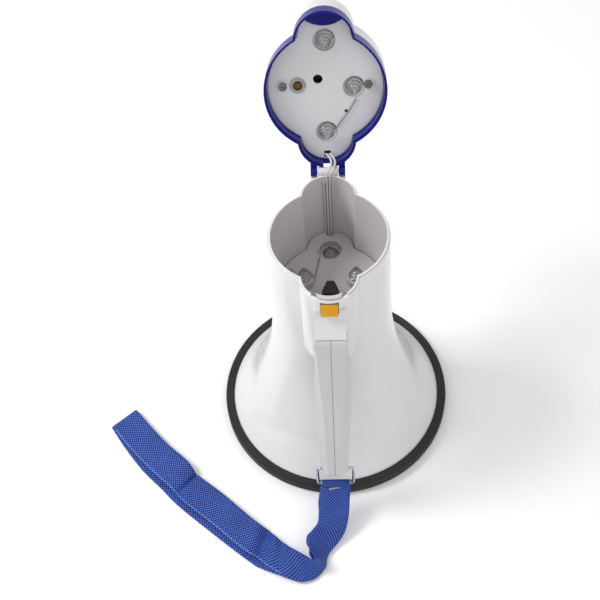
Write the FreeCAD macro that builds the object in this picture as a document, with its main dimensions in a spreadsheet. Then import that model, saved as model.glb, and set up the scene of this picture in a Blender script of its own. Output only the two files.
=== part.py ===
import FreeCAD, Part
import math
import os

import Sketcher
from FreeCAD import Placement, Rotation, Vector

# A handheld megaphone that stands on its horn mouth. The origin is the centre of the mouth, +Z runs up the
# barrel to the battery opening, -Y is the handle's side and +Y is the cap hinge's side. Millimetres.

DRIVING_SIZES = {
    # barrel and horn
    "rim_height": 210.0,
    "main_radius": 41.0,
    "lobe_radius": 20.1,
    "lobe_offset": 33.7,
    "wall": 2.2,
    "lip_height": 1.6,
    "lip_inset": 1.1,
    "lobe_foot": 137.0,
    "barrel_foot": 128.0,
    "barrel_foot_radius": 43.7,
    "waist_height": 36.0,
    "waist_radius": 64.6,
    "mouth_height": 7.0,
    "mouth_radius": 86.0,
    "upper_flare_radius": 265.0,
    "lower_flare_radius": 75.0,
    "ring_radius": 92.0,
    "ring_inner_radius": 83.0,
    "ring_height": 9.0,
    # battery compartment
    "floor_height": 151.5,
    "floor_plate": 3.0,
    "spring_tower": 6.0,
    "spring_wire": 0.9,
    # cap, drawn shut and turned open about its hinge
    "hinge_back": 57.0,
    "hinge_height": 209.4,
    "hinge_pin_radius": 1.5,
    "hinge_clearance": 0.05,
    "cap_open_angle": 110.5,
    "cap_rim_depth": 9.6,
    "cap_plate_depth": 8.6,
    "cap_plate_thickness": 1.8,
    "dome_height": 29.0,
    # handle, drawn hanging from its pin and swung out from the barrel
    "handle_pin_front": 60.0,
    "handle_pin_height": 172.0,
    "handle_pin_radius": 2.0,
    "handle_angle": 17.5,
    "knuckle_radius": 5.6,
    "handle_length": 130.0,
    "handle_depth": 18.5,
    "handle_half_width": 12.4,
    "grip_wall": 2.4,
    # driver
    "baffle_height": 118.0,
    # webbing
    "webbing_width": 24.0,
    "webbing_thickness": 1.5,
}


class Size:
    """A number together with the spreadsheet expression that it comes from."""

    def __init__(self, value, text):
        self.value = value
        self.text = text

    def _with(self, other, sign, value):
        return Size(value, f"({self.text} {sign} {size(other).text})")

    def __add__(self, other):
        return self._with(other, "+", self.value + size(other).value)

    def __sub__(self, other):
        return self._with(other, "-", self.value - size(other).value)

    def __mul__(self, other):
        return self._with(other, "*", self.value * size(other).value)

    def __truediv__(self, other):
        return self._with(other, "/", self.value / size(other).value)

    def __neg__(self):
        return Size(-self.value, f"(0 - {self.text})")

    __radd__ = __add__
    __rmul__ = __mul__


def size(number):
    """A plain number as a Size, or the Size itself."""
    if isinstance(number, Size):
        return number
    return Size(float(number), f"{float(number):g}")


class Sheet:
    """The spreadsheet of driving sizes, each read as sheet.alias."""

    def __init__(self, document, sizes):
        cells = document.addObject("Spreadsheet::Sheet", "Sizes")
        for row, (alias, value) in enumerate(sizes.items(), start=1):
            cells.set(f"A{row}", alias.replace("_", " "))
            cells.set(f"B{row}", f"{value:g}")
            cells.setAlias(f"B{row}", alias)
            setattr(self, alias, Size(value, f"Sizes.{alias}"))


doc = FreeCAD.newDocument("megaphone")
S = Sheet(doc, DRIVING_SIZES)
doc.recompute()
nodes = {}


# ---- Part primitives and booleans, with every size bound to the sheet


def bind(item, **properties):
    for name, number in properties.items():
        item.setExpression(name.replace("__", "."), size(number).text)
    return item


def primitive(kind, name, at, turn, **sizes):
    item = doc.addObject(kind, name)
    bind(item, **sizes)
    item.Placement = Placement(Vector(*(size(c).value for c in at)), turn)
    for letter, number in zip("xyz", at):
        item.setExpression(f"Placement.Base.{letter}", size(number).text)
    return item


UPRIGHT = Rotation()
ALONG_X = Rotation(Vector(0, 1, 0), 90)
ALONG_Y = Rotation(Vector(1, 0, 0), -90)


def cylinder(name, radius, length, at=(0, 0, 0), turn=UPRIGHT):
    return primitive("Part::Cylinder", name, at, turn, Radius=radius, Height=length)


def cone(name, radius, end_radius, length, at=(0, 0, 0), turn=UPRIGHT):
    return primitive("Part::Cone", name, at, turn, Radius1=radius, Radius2=end_radius, Height=length)


def box(name, length, width, height, at=(0, 0, 0), turn=UPRIGHT):
    return primitive("Part::Box", name, at, turn, Length=length, Width=width, Height=height)


def fuse(name, *items):
    result = doc.addObject("Part::MultiFuse", name)
    result.Shapes = list(items)
    result.Refine = True
    return result


def common(name, *items):
    result = doc.addObject("Part::MultiCommon", name)
    result.Shapes = list(items)
    return result


def cut(name, base, *tools):
    tool = tools[0] if len(tools) == 1 else fuse(name + "_tools", *tools)
    result = doc.addObject("Part::Cut", name)
    result.Base = base
    result.Tool = tool
    return result


def group(name, *items):
    result = doc.addObject("Part::Compound", name)
    result.Links = list(items)
    return result


def node(label, item, placement=None):
    """Names a finished sub-part and places it. A lone primitive is wrapped, to keep its own place."""
    if placement is not None and item.ExpressionEngine:
        item = group(label + "_placed", item)
    item.Label = label
    if placement is not None:
        item.Placement = placement
    nodes[label] = item
    return item


# ---- Sketches: closed outlines of straight runs and arcs, every corner bound to the sheet


def corner_constraints(sketch, edge, end, x, y):
    for kind, number, axis in (("DistanceX", x, -2), ("DistanceY", y, -1)):
        number = size(number)
        if abs(number.value) < 1e-9:
            sketch.addConstraint(Sketcher.Constraint("PointOnObject", edge, end, axis))
            continue
        first, second = ((-1, 1), (edge, end)) if number.value > 0 else ((edge, end), (-1, 1))
        distance = abs(number.value)
        index = sketch.addConstraint(Sketcher.Constraint(kind, *first, *second, distance))
        text = number.text if number.value > 0 else (-number).text
        sketch.setExpression(f"Constraints[{index}]", text)


def arc_between(start, end, radius, bulge):
    """The shorter arc between two corners. It bulges left of the run where bulge is 1, else right."""
    chord = end - start
    left = Vector(-chord.y, chord.x, 0).normalize() * bulge
    centre = (start + end) * 0.5 - left * math.sqrt(radius * radius - (chord.Length / 2) ** 2)
    angles = [math.atan2(point.y - centre.y, point.x - centre.x) for point in (start, end)]
    first, last = angles if bulge < 0 else reversed(angles)
    if last < first:
        last += 2 * math.pi
    return Part.ArcOfCircle(Part.Circle(centre, Vector(0, 0, 1), radius), first, last)


def outline(sketch, corners):
    """A closed outline. A corner is (x, y), or (x, y, radius, bulge) where an arc leads on from it."""
    points = [Vector(size(c[0]).value, size(c[1]).value, 0) for c in corners]
    ends = []
    for index, corner in enumerate(corners):
        start, end = points[index], points[(index + 1) % len(points)]
        if len(corner) == 2:
            edge = sketch.addGeometry(Part.LineSegment(start, end))
            ends.append((edge, 1, 2))
            continue
        radius = size(corner[2])
        edge = sketch.addGeometry(arc_between(start, end, radius.value, corner[3]))
        forward = sketch.Geometry[edge].StartPoint.distanceToPoint(start) < 1e-6
        ends.append((edge, 1, 2) if forward else (edge, 2, 1))
        index_radius = sketch.addConstraint(Sketcher.Constraint("Radius", edge, radius.value))
        sketch.setExpression(f"Constraints[{index_radius}]", radius.text)
    for index, (edge, start, end) in enumerate(ends):
        following, following_start, _ = ends[(index + 1) % len(ends)]
        sketch.addConstraint(Sketcher.Constraint("Coincident", edge, end, following, following_start))
    for corner, (edge, start, _) in zip(corners, ends):
        corner_constraints(sketch, edge, start, corner[0], corner[1])


def sketch_in(body, plane, corners, offset=0):
    """A sketch on the body's XY, XZ or YZ plane, moved along the plane's normal."""
    plane_feature = next(f for f in body.Origin.OriginFeatures if f.Role == plane + "_Plane")
    sketch = body.newObject("Sketcher::SketchObject", body.Name + "_sketch")
    sketch.AttachmentSupport = [(plane_feature, "")]
    sketch.MapMode = "FlatFace"
    sketch.setExpression("AttachmentOffset.Base.z", size(offset).text)
    outline(sketch, corners)
    return sketch


def new_body(name):
    return doc.addObject("PartDesign::Body", name)


def pad(body, sketch, length, midplane=False):
    feature = body.newObject("PartDesign::Pad", body.Name + "_pad")
    feature.Profile = sketch
    feature.setExpression("Length", size(length).text)
    if midplane:
        feature.Midplane = True
    return feature


def revolve(body, sketch):
    """Turns a sketch of the XZ plane, x outwards and y up, once round the Z axis."""
    feature = body.newObject("PartDesign::Revolution", body.Name + "_turned")
    feature.Profile = sketch
    feature.ReferenceAxis = (sketch, ["V_Axis"])
    feature.Angle = 360
    return feature


def turned(name, corners):
    body = new_body(name)
    revolve(body, sketch_in(body, "XZ", corners))
    return body


def side_slab(name, corners, width):
    """An outline in the YZ plane, x forwards along +Y and y up, given a width along X."""
    body = new_body(name)
    pad(body, sketch_in(body, "YZ", corners), width, midplane=True)
    return body


def rounded(body, radius, chosen):
    """Fillets the edges of the body's tip that chosen(edge) picks."""
    doc.recompute()
    names = [f"Edge{i}" for i, e in enumerate(body.Tip.Shape.Edges, start=1) if chosen(e)]
    base = body.Tip
    feature = body.newObject("PartDesign::Fillet", body.Name + "_fillet")
    feature.Base = (base, names)
    feature.setExpression("Radius", size(radius).text)
    return body


def along(edge, axis):
    """Whether an edge is straight and runs along an axis."""
    if edge.Curve.TypeId != "Part::GeomLine":
        return False
    direction = edge.tangentAt(edge.FirstParameter)
    return abs(abs(direction.dot(axis)) - 1) < 1e-6


X_AXIS = Vector(1, 0, 0)
Y_AXIS = Vector(0, 1, 0)
Z_AXIS = Vector(0, 0, 1)


# ---- Wires and springs


def wire_tube(points, diameter, bend=None, label=""):
    """A round wire along straight runs joined by tangent arcs, of one radius where bend gives it."""
    edges = []
    radii = []
    start = points[0]
    for before, corner, after in zip(points, points[1:], points[2:]):
        back, on = (before - corner), (after - corner)
        half_turn = (math.pi - back.getAngle(on)) / 2
        reach = bend * math.tan(half_turn) if bend else 0.45 * min(back.Length, on.Length)
        radius = reach / math.tan(half_turn)
        radii.append(radius)
        entry = corner + back.normalize() * reach
        leave = corner + on.normalize() * reach
        inward = ((entry + leave) * 0.5 - corner).normalize()
        middle = corner + inward * (radius / math.cos(half_turn) - radius)
        edges.append(Part.LineSegment(start, entry).toShape())
        edges.append(Part.Arc(entry, middle, leave).toShape())
        start = leave
    edges.append(Part.LineSegment(start, points[-1]).toShape())
    path = Part.Wire(edges)
    direction = points[1] - points[0]
    section = Part.Wire(Part.Circle(points[0], direction, diameter / 2).toShape())
    tube = path.makePipeShell([section], True, True)
    expected = math.pi * diameter**2 / 4 * path.Length
    if label:
        listed = ", ".join(f"{radius:.1f}" for radius in radii)
        share = tube.Volume / expected
        print(f"{label}: {path.Length:.0f} mm, volume {share:.4f} of its section, radii {listed}")
    return tube


def coil(base_radius, top_radius, height, turns, wire, at):
    """A conical coil spring that stands on its wide end: half turns of round wire, each a little smaller."""
    halves = round(turns * 2)
    ends = []
    for index in range(halves + 1):
        reach = base_radius + (top_radius - base_radius) * index / halves
        ends.append(Vector(reach if index % 2 == 0 else -reach, 0, height * index / halves))
    pieces = []
    for index, (start, end) in enumerate(zip(ends, ends[1:])):
        forward = Y_AXIS if index % 2 == 0 else -Y_AXIS
        centre = (start + end) * 0.5
        disc = Part.Face(Part.Wire(Part.Circle(start, forward, wire / 2).toShape()))
        pieces.append(disc.revolve(centre, (start - centre).cross(forward), 180))
    spring = pieces[0].multiFuse(pieces[1:]).Solids[0]
    spring.translate(at)
    return spring


def shaped(label, shape, placement=None):
    """A sub-part whose shape is made directly, where no sketch or primitive fits."""
    item = doc.addObject("Part::Feature", label)
    item.Shape = shape if placement is None else Part.makeCompound([shape])
    return node(label, item, placement)


# ---- The lobed section that barrel, battery floor and cap share


def ring_corners(inner, outer, bottom, top):
    """The corners of a plain ring's section."""
    return [(inner, bottom), (outer, bottom), (outer, top), (inner, top)]


def cylinders_at(name, places, radius, height, bottom):
    """Equal upright cylinders, such as the holes or posts for a set of screws."""
    return [cylinder(f"{name}_{i}", radius, height, (x, y, bottom)) for i, (x, y) in enumerate(places)]


def lobed(name, grow, bottom, top):
    """A prism of the barrel's section: a round with a smaller lobe in front and behind."""
    height = size(top) - bottom
    pieces = [cylinder(name + "_main", S.main_radius + grow, height, (0, 0, bottom))]
    for side, sign in (("front", -1), ("back", 1)):
        offset = S.lobe_offset * sign
        pieces.append(cylinder(f"{name}_{side}", S.lobe_radius + grow, height, (0, offset, bottom)))
    return fuse(name, *pieces)


# ---- Barrel with horn, in one moulding

LATCH_HALF_WIDTH = 5.5
LATCH_BOTTOM = 195.5
LATCH_TOP = 205.2
WINDOW_TOP = 206.7
ROOT_HALF_WIDTH = 10.6


def flare_corners(inset, drop):
    """The horn's outline from barrel to mouth, moved in and down by a wall."""
    return (
        (S.barrel_foot_radius - inset, S.barrel_foot, S.upper_flare_radius, -1),
        (S.waist_radius - inset, S.waist_height - drop * 0.5, S.lower_flare_radius, -1),
        (S.mouth_radius - inset * 0.8, S.mouth_height - drop),
    )


def horn_solids():
    """The turned outside of barrel and horn, and the hollow of the bell below the baffle."""
    upper, waist, mouth = flare_corners(0, 0)
    outside = turned(
        "horn_outside",
        [(0, mouth[1]), (0, S.rim_height), (S.main_radius, S.rim_height), upper, waist, mouth],
    )
    upper, waist, mouth = flare_corners(S.wall, S.wall)
    bell = turned(
        "horn_inside",
        [(0, mouth[1] - 4), (0, S.baffle_height), (upper[0], S.baffle_height), upper]
        + [waist, mouth, (mouth[0], mouth[1] - 4)],
    )
    return outside, bell


def lobe_outside():
    """The two lobes that carry the front and back cells. They end in a slanted foot on the barrel."""
    lobes = []
    for side, sign in (("front", -1), ("back", 1)):
        offset = S.lobe_offset * sign
        length = S.rim_height - S.lobe_foot
        lobes.append(cylinder(f"lobe_{side}", S.lobe_radius, length, (0, offset, S.lobe_foot)))
        lobes.append(
            cone(f"lobe_foot_{side}", S.lobe_radius - 9, S.lobe_radius, 12, (0, offset, S.lobe_foot - 12))
        )
    return lobes


def handle_root():
    """The block under the latch button that the handle folds against, hollowed round the handle's knuckle."""
    pin_y, pin_z = -S.handle_pin_front, S.handle_pin_height
    clear = S.knuckle_radius + 0.35
    block = side_slab(
        "root_block",
        [
            (-50.6, pin_z + 27),
            (-53.0, pin_z + 26.4),
            (pin_y + 5.2, pin_z + 19),
            (pin_y - 2.6, pin_z + clear),
            (pin_y, pin_z + clear),
            (pin_y, pin_z),
            (-50.6, pin_z),
        ],
        ROOT_HALF_WIDTH * 2,
    )
    hollow = cylinder("root_hollow", clear, 30, (-15, pin_y, pin_z), ALONG_X)
    ear_half = 4.6
    ear = fuse(
        "root_ear",
        cylinder("root_ear_eye", 3.8, ear_half * 2, (-ear_half, pin_y, pin_z), ALONG_X),
        box("root_ear_arm", ear_half * 2, 7.6, 6.4, (-ear_half, pin_y, pin_z - 3.2)),
    )
    return cut("root_hollowed", block, hollow), ear


def hinge_knuckle():
    """The block behind the rim that the cap's two arms straddle, and the lug that stops each arm."""
    half = 7.1
    lug_outline = [(48.6, 200), (48.6, 205.2), (55.9, 206.33), (58.75, 205.26), (58.75, 204.2), (52.5, 200)]
    lugs = side_slab("hinge_stop", lug_outline, 24)
    between = box("hinge_stop_gap", half * 2 + 0.8, 14, 10, (-half - 0.4, 47, 198))
    inside = lobed("hinge_stop_inside", -1, 195, 212)
    return [
        cylinder("hinge_eye", 3.2, half * 2, (-half, S.hinge_back, S.hinge_height), ALONG_X),
        box("hinge_web", half * 2, 4.8, 3.3, (-half, S.hinge_back - 4.6, S.hinge_height - 4.4)),
        box("hinge_brace", half * 2, 3.0, 5, (-half, S.hinge_back - 4.6, S.hinge_height - 8)),
        cut("hinge_stop_lugs", lugs, between, inside),
    ]


def cable_ribs():
    """Two ribs down the back lobe's wall, with the two wires between them."""
    ribs = []
    length = S.rim_height - S.floor_height - 4
    for side, sign in (("left", -1), ("right", 1)):
        ribs.append(box(f"rib_{side}", 0.9, 2.6, length, (sign * 2.9 - 0.45, 49.4, S.floor_height + 0.2)))
    return ribs


BAFFLE_SCREWS = [(34.5 * math.cos(math.radians(a)), 34.5 * math.sin(math.radians(a))) for a in (45, 165, 285)]
FLOOR_SCREWS = [(-29.5, 13.5), (29.5, 13.5), (-29.5, -13.5), (29.5, -13.5)]


def make_housing():
    outside, bell = horn_solids()
    root, ear = handle_root()
    floor_bottom = S.floor_height - S.floor_plate
    moulding = fuse("moulding", outside, root, ear, *lobe_outside())
    chamber_bottom = S.baffle_height + 3
    chamber = cylinder("driver_chamber", 39.6, floor_bottom - chamber_bottom - 3, (0, 0, chamber_bottom))
    ledge = lobed("floor_ledge", -(S.wall + 5.5), S.lobe_foot + 3, floor_bottom + 1)
    throat_opening = cylinder("throat_opening", 31.5, 8, (0, 0, S.baffle_height - 2))
    above_floor = lobed("compartment", -S.wall, floor_bottom, S.rim_height + 5)
    lip_outside = cut(
        "lip_step",
        lobed("lip_step_block", 3, S.rim_height - S.lip_height, S.rim_height + 1),
        lobed("lip_core", -S.lip_inset, S.rim_height - S.lip_height - 1, S.rim_height + 2),
    )
    lip_gap = box("lip_gap", 23, 10, 3, (-11.5, -56, S.rim_height - S.lip_height))
    window_foot = LATCH_BOTTOM - 0.5
    window = box("latch_window", 11.8, 6, WINDOW_TOP - window_foot, (-5.9, -56.5, window_foot))
    pin_at = (-15, -S.handle_pin_front, S.handle_pin_height)
    pin_bore = cylinder("root_bore", S.handle_pin_radius, 30, pin_at, ALONG_X)
    lead_slot = box("lead_slot", 6, 16, 9, (-3, 36, 140.5))
    cap_bore = cylinder("hinge_bore", S.hinge_pin_radius, 30, (-15, S.hinge_back, S.hinge_height), ALONG_X)
    hollow = cut(
        "hollow_moulding",
        moulding,
        bell,
        chamber,
        ledge,
        throat_opening,
        above_floor,
        lip_outside,
        lip_gap,
        window,
        lead_slot,
    )
    posts = cylinders_at("floor_post", FLOOR_SCREWS, 2.8, 7.5, floor_bottom - 7.5)
    screw_holes = cylinders_at("floor_pilot", FLOOR_SCREWS, 1.1, 9, floor_bottom - 8)
    screw_holes += cylinders_at("baffle_pilot", BAFFLE_SCREWS, 1.2, 10, S.baffle_height - 4)
    whole = fuse("housing_joined", hollow, *hinge_knuckle(), *cable_ribs(), *posts)
    node("housing", cut("housing_shape", whole, pin_bore, cap_bore, *screw_holes))


def make_mouth_ring():
    """The black bumper round the mouth: a channel that grips the horn's edge, grooved round its outside."""
    inner, outer, top = S.ring_inner_radius, S.ring_radius, S.ring_height
    grooves = []
    for index in range(3):
        height = 2.6 + 1.9 * index
        root = outer - 0.5
        grooves += [(outer, height), (root, height + 0.3), (root, height + 0.7), (outer, height + 1.0)]
    ring = turned(
        "ring_profile",
        [(inner, 0), (outer - 1.2, 0), (outer, 1.2)]
        + grooves
        + [(outer - 0.2, top - 0.6), (outer - 0.9, top), (85.2, top), (inner + 0.6, 4.2), (inner, 3.6)],
    )
    upper, waist, mouth = flare_corners(0, 0)
    seat_foot = mouth[1] - S.wall
    seat = turned("ring_seat", [(0, seat_foot), (0, 40), waist, mouth, (mouth[0] - 1.76, seat_foot)])
    node("mouth_ring", cut("mouth_ring_shape", ring, seat))


# ---- Battery floor and its contacts

FLOOR_SPRINGS = {
    "back": (0.0, 33.6, -5.0),
    "left": (-18.3, 4.0, 6.0),
    "right": (18.3, 4.0, 6.0),
}


def make_battery_floor():
    bottom = S.floor_height - S.floor_plate
    plate = lobed("floor_blank", -(S.wall + 0.7), bottom, S.floor_height)
    towers = [
        cylinder(f"tower_{side}", 6.6, S.spring_tower, (x, y, S.floor_height))
        for side, (x, y, rise) in FLOOR_SPRINGS.items()
        if rise > 0
    ]
    cup = cylinder("floor_cup", 9.6, 7, (0, 33.6, bottom - 4))
    body = fuse("floor_body", plate, cup, *towers)
    recess = cylinder("floor_recess", 8.2, 8, (0, 33.6, S.floor_height - 5))
    slot = box("floor_slot", 3, 8, 5, (-9.6, 25.2, S.floor_height - 1.6))
    lead_hole = box("floor_lead_hole", 5.0, 5.0, 12, (-2.5, 47.0, bottom - 5))
    screws = cylinders_at("floor_screw_hole", FLOOR_SCREWS, 1.6, 9, bottom - 2)
    node("battery_floor", cut("battery_floor_shape", body, recess, slot, lead_hole, *screws))


def make_cell_divider():
    """The black wedge that fills the gap between the front cell and its two neighbours."""
    wedge = doc.addObject("PartDesign::Body", "divider")
    sketch = sketch_in(
        wedge,
        "XY",
        [(-2.6, -4.0), (2.6, -4.0), (6.0, -12.5), (6.0, -15.6), (-6.0, -15.6), (-6.0, -12.5)],
        S.floor_height,
    )
    pad(wedge, sketch, 13.5)
    upper = rounded(wedge, 1.1, lambda edge: not along(edge, Z_AXIS) and edge.BoundBox.ZMin > 160)
    node("cell_divider", upper)


def screw(x, y, z, head, head_height, shank, length, down=True):
    """A pan-head screw: its head's underside is at z, and the shank runs down from there, or up."""
    sign = -1 if down else 1
    turn = Rotation(X_AXIS, 0 if down else 180)
    disc = Part.makeCylinder(head, head_height)
    stem = Part.makeCylinder(shank, length + 0.2, Vector(0, 0, -length))
    cross = [
        Part.makeBox(head * 1.2, 0.5, head_height, Vector(-head * 0.6, -0.25, head_height * 0.45)),
        Part.makeBox(0.5, head * 1.2, head_height, Vector(-0.25, -head * 0.6, head_height * 0.45)),
    ]
    shape = disc.fuse(stem).cut(cross[0]).cut(cross[1])
    shape.Placement = Placement(Vector(x, y, size(z).value), turn)
    return shape


def make_floor_contacts():
    for side, (x, y, rise) in FLOOR_SPRINGS.items():
        base = S.floor_height.value + rise
        height = 9.0 if rise > 0 else 6.5
        wire = S.spring_wire.value
        spring = coil(5.7, 1.5, height, 3.5, wire, Vector(x, y, base + wire / 2 + 0.05))
        shaped(f"floor_spring_{side}", spring)
    contact = cylinder("front_contact_disc", 5.6, 0.5, (0, -33.9, S.floor_height))
    dimple = cylinder("front_contact_dimple", 2.2, 1.1, (0, -33.9, S.floor_height + 0.5))
    node("floor_contact_front", fuse("front_contact", contact, dimple))
    top = S.floor_height.value + 0.7
    jumpers = [
        wire_tube([Vector(-11.6, 6.4, top), Vector(-9.6, 17.0, top), Vector(-8.2, 25.6, top)], 0.8),
        wire_tube([Vector(16.0, -3.4, top), Vector(13.0, -18.0, top), Vector(5.4, -31.0, top)], 0.8),
    ]
    shaped("floor_jumpers", Part.makeCompound(jumpers))
    screws = [screw(x, y, S.floor_height, 2.7, 1.4, 1.05, 9) for x, y in FLOOR_SCREWS]
    shaped("floor_screws", Part.makeCompound(screws))


LEAD_DIAMETER = 1.6
LEAD_SPREAD = 1.05
LEAD_TOP = (50.4, 206.4)
LEAD_ROUTE = [(15.1, 142.9), (30.0, 142.7), (44.5, 143.1), (49.8, 149.6), (50.2, 160.0), LEAD_TOP]


def make_fixed_lead():
    """The two wires from the driver's terminals to the rim, held between the ribs."""
    wires = []
    for x in (-LEAD_SPREAD, LEAD_SPREAD):
        route = [Vector(x, y, z) for y, z in LEAD_ROUTE]
        wires.append(wire_tube(route, LEAD_DIAMETER, label="fixed lead"))
    shaped("lead_fixed", Part.makeCompound(wires))


# ---- Horn driver and its folded throat


def make_throat_horn():
    top = S.baffle_height
    tube = turned(
        "throat_profile",
        [
            (8, top),
            (38.4, top),
            (38.4, top - 2.8),
            (13.5, top - 2.8),
            (10.8, top - 6),
            (14.2, 60),
            (12.4, 60),
        ],
    )
    holes = [cylinder(f"throat_hole_{i}", 1.6, 6, (x, y, top - 5)) for i, (x, y) in enumerate(BAFFLE_SCREWS)]
    node("throat_horn", cut("throat_shape", tube, *holes))


def make_reflector():
    """The cup that turns the sound back round the throat. Three webs inside hold it to the tube's end."""
    cup = turned(
        "reflector_profile",
        [
            (0, 23, 30.0, -1),
            (26.5, 44),
            (31, 90),
            (29.4, 90),
            (24.9, 45.5, 28.2, 1),
            (0, 25.4),
        ],
    )
    collar = cut(
        "reflector_collar",
        cylinder("collar_outside", 16.2, 12, (0, 0, 60)),
        cylinder("collar_inside", 14.3, 14, (0, 0, 59)),
    )
    webs = []
    for index in range(3):
        web = box(f"reflector_web_{index}", 12.2, 1.6, 10, (15.6, -0.8, 61))
        turn = Placement(Vector(), Rotation(Z_AXIS, 120 * index + 90))
        item = doc.addObject("Part::Compound", f"reflector_web_turned_{index}")
        item.Links = [web]
        item.Placement = turn
        webs.append(item)
    node("reflector_cup", fuse("reflector_shape", cup, collar, *webs))


def make_driver():
    base = S.baffle_height
    node("driver_gasket", turned("gasket", ring_corners(23, 29.6, base, base + 1)))
    node(
        "driver_diaphragm",
        turned(
            "diaphragm",
            [
                (0, base + 4.6),
                (9, base + 3.9),
                (16, base + 2.1),
                (19, base + 1.3),
                (29.2, base + 1.5),
                (29.2, base + 1.0),
                (18.8, base + 1.0),
                (15.8, base + 1.6),
                (8.8, base + 3.4),
                (0, base + 4.1),
            ],
        ),
    )
    node(
        "voice_coil",
        turned("coil_former", ring_corners(15.5, 16.1, base + 2.6, base + 9.2)),
    )
    node(
        "driver_top_plate",
        turned("top_plate", ring_corners(16.6, 28, base + 5, base + 9)),
    )
    node("driver_magnet", turned("magnet", ring_corners(19, 27, base + 9, base + 17)))
    node(
        "driver_yoke",
        turned(
            "yoke",
            [
                (0, base + 5.4),
                (15, base + 5.4),
                (15, base + 17),
                (27, base + 17),
                (27, base + 21),
                (0, base + 21),
            ],
        ),
    )
    cover = turned(
        "driver_can",
        [(29.25, base + 1), (30, base + 1), (30, base + 22), (29, base + 23), (0, base + 23)]
        + [(0, base + 21.6), (28.4, base + 21.6), (28.4, base + 5), (28.2, base + 1.6), (29.25, base + 1.6)],
    )
    node("driver_cover", cover)
    block = box("terminal_block", 11, 5, 2.4, (-5.5, 10, base + 23))
    lugs = []
    for index, x in enumerate((-3, 3)):
        lugs.append(box(f"terminal_lug_{index}", 2.0, 3.4, 1.0, (x - 1, 11.4, base + 25.4)))
    node("driver_terminals", fuse("terminals", block, *lugs))
    bottom = S.baffle_height - 2.8
    screws = [screw(x, y, bottom, 2.8, 1.5, 1.15, 6.2, down=False) for x, y in BAFFLE_SCREWS]
    shaped("throat_screws", Part.makeCompound(screws))


# ---- Latch: the button outside and its hook inside the front lobe's wall


def front_ring(name, inner, outer, half_width, bottom, top):
    """A piece of a ring round the front lobe's centre, cut off at each side of the front."""
    centre = (0, -S.lobe_offset, bottom)
    ring = cut(
        name + "_ring",
        cylinder(name + "_outside", outer, size(top) - bottom, centre),
        cylinder(name + "_inside", inner, size(top) - bottom, centre),
    )
    front = box(name + "_front", half_width * 2, 14, size(top) - bottom, (-half_width, -58, bottom))
    return common(name, ring, front)


def make_latch():
    rim = S.rim_height
    wall_inside = S.lobe_radius - S.wall
    blade = front_ring("hook_blade", wall_inside - 1.7, wall_inside - 0.25, 8.4, 188, rim + 0.05)
    nose = front_ring("hook_nose", wall_inside - 1.7, S.lobe_radius - 1.15, 7.6, rim - 0.75, rim + 0.05)
    stem = box("hook_stem", 8, 2.6, 7, (-4, -53.6, 196.6))
    node("latch_hook", fuse("latch_hook_shape", blade, nose, stem))
    width = LATCH_HALF_WIDTH * 2
    button = side_slab(
        "button",
        [(-53.65, LATCH_BOTTOM), (-53.65, LATCH_TOP), (-54.4, LATCH_TOP), (-56.6, LATCH_BOTTOM + 1)]
        + [(-56.4, LATCH_BOTTOM)],
        width,
    )
    rounded(button, 0.5, lambda edge: along(edge, X_AXIS) and edge.BoundBox.YMax < -54)
    node("latch_button", button)
    leaf = wire_tube([Vector(0, -49.85, 188.6), Vector(0, -49.2, 193), Vector(0, -49.5, 199.0)], 0.7)
    leaves = [leaf.copy() for _ in range(2)]
    for x, piece in zip((-3.4, 3.4), leaves):
        piece.translate(Vector(x, 1.05, 0))
    shaped("latch_spring", Part.makeCompound(leaves))


# ---- Cap, drawn shut on the rim


def open_cap():
    """Turns the cap from shut to fully open about its hinge."""
    hinge = Vector(0, S.hinge_back.value, S.hinge_height.value)
    return Placement(Vector(), Rotation(X_AXIS, -S.cap_open_angle.value), hinge)


CAP_SPRINGS = {"front": (0.0, -32.0), "right": (19.0, 0.0), "hinge": (0.0, 31.4)}
CAP_CONTACT = (-18.5, -2.0)
CAP_SCREWS = [(-28.5, -2.0), (28.5, -2.0)]
KNOB_Y = 25.0
SLIDER_Y = -23.0


def lens(name, bottom, top):
    """The round that bites into the cap plate beside the catch."""
    return cylinder(name, 20.6, size(top) - bottom, (0, -62.6, bottom))


def make_cap_rim():
    rim = S.rim_height
    skirt_bottom = rim - S.lip_height + 0.1
    top = rim + S.cap_rim_depth
    frame = cut(
        "cap_frame",
        lobed("cap_frame_outside", -0.1, skirt_bottom, top),
        lobed("cap_frame_inside", -1.8, rim + 0.1, top + 1),
        lobed("cap_skirt_inside", -1.0, skirt_bottom - 1, rim + 0.2),
    )
    shelf_outline = lobed("cap_shelf_outline", -1.0, top - 3.4, top)
    shelf = common("cap_shelf", lens("cap_lens", top - 3.4, top), shelf_outline)
    ridge = front_ring("cap_ridge", S.lobe_radius - 1.75, S.lobe_radius - 0.6, 7.0, rim - 1.5, rim - 0.85)
    arms = []
    for side, x in (("left", -12.0), ("right", 7.5)):
        eye = cylinder(f"arm_eye_{side}", 3.2, 4.5, (x, S.hinge_back, S.hinge_height), ALONG_X)
        web = box(f"arm_web_{side}", 4.5, 7.4, 5.3, (x, 49.6, rim + 0.1))
        foot = box(f"arm_foot_{side}", 4.5, 3.2, 3.2, (x, S.hinge_back, S.hinge_height))
        arms += [eye, web, foot]
    bore = cylinder("arm_bore", S.hinge_pin_radius, 30, (-15, S.hinge_back, S.hinge_height), ALONG_X)
    notch = box("frame_notch", 6, 8, 7, (-3, 47, rim - 2))
    whole = fuse("cap_rim_whole", frame, shelf, ridge, *arms)
    node("cap_rim", cut("cap_rim_shape", whole, bore, notch), open_cap())


def fillet_part(name, item, radius, chosen):
    doc.recompute()
    result = doc.addObject("Part::Fillet", name)
    result.Base = item
    picked = [i for i, edge in enumerate(item.Shape.Edges, start=1) if chosen(edge)]
    result.Edges = [(i, radius, radius) for i in picked]
    return result


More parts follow.
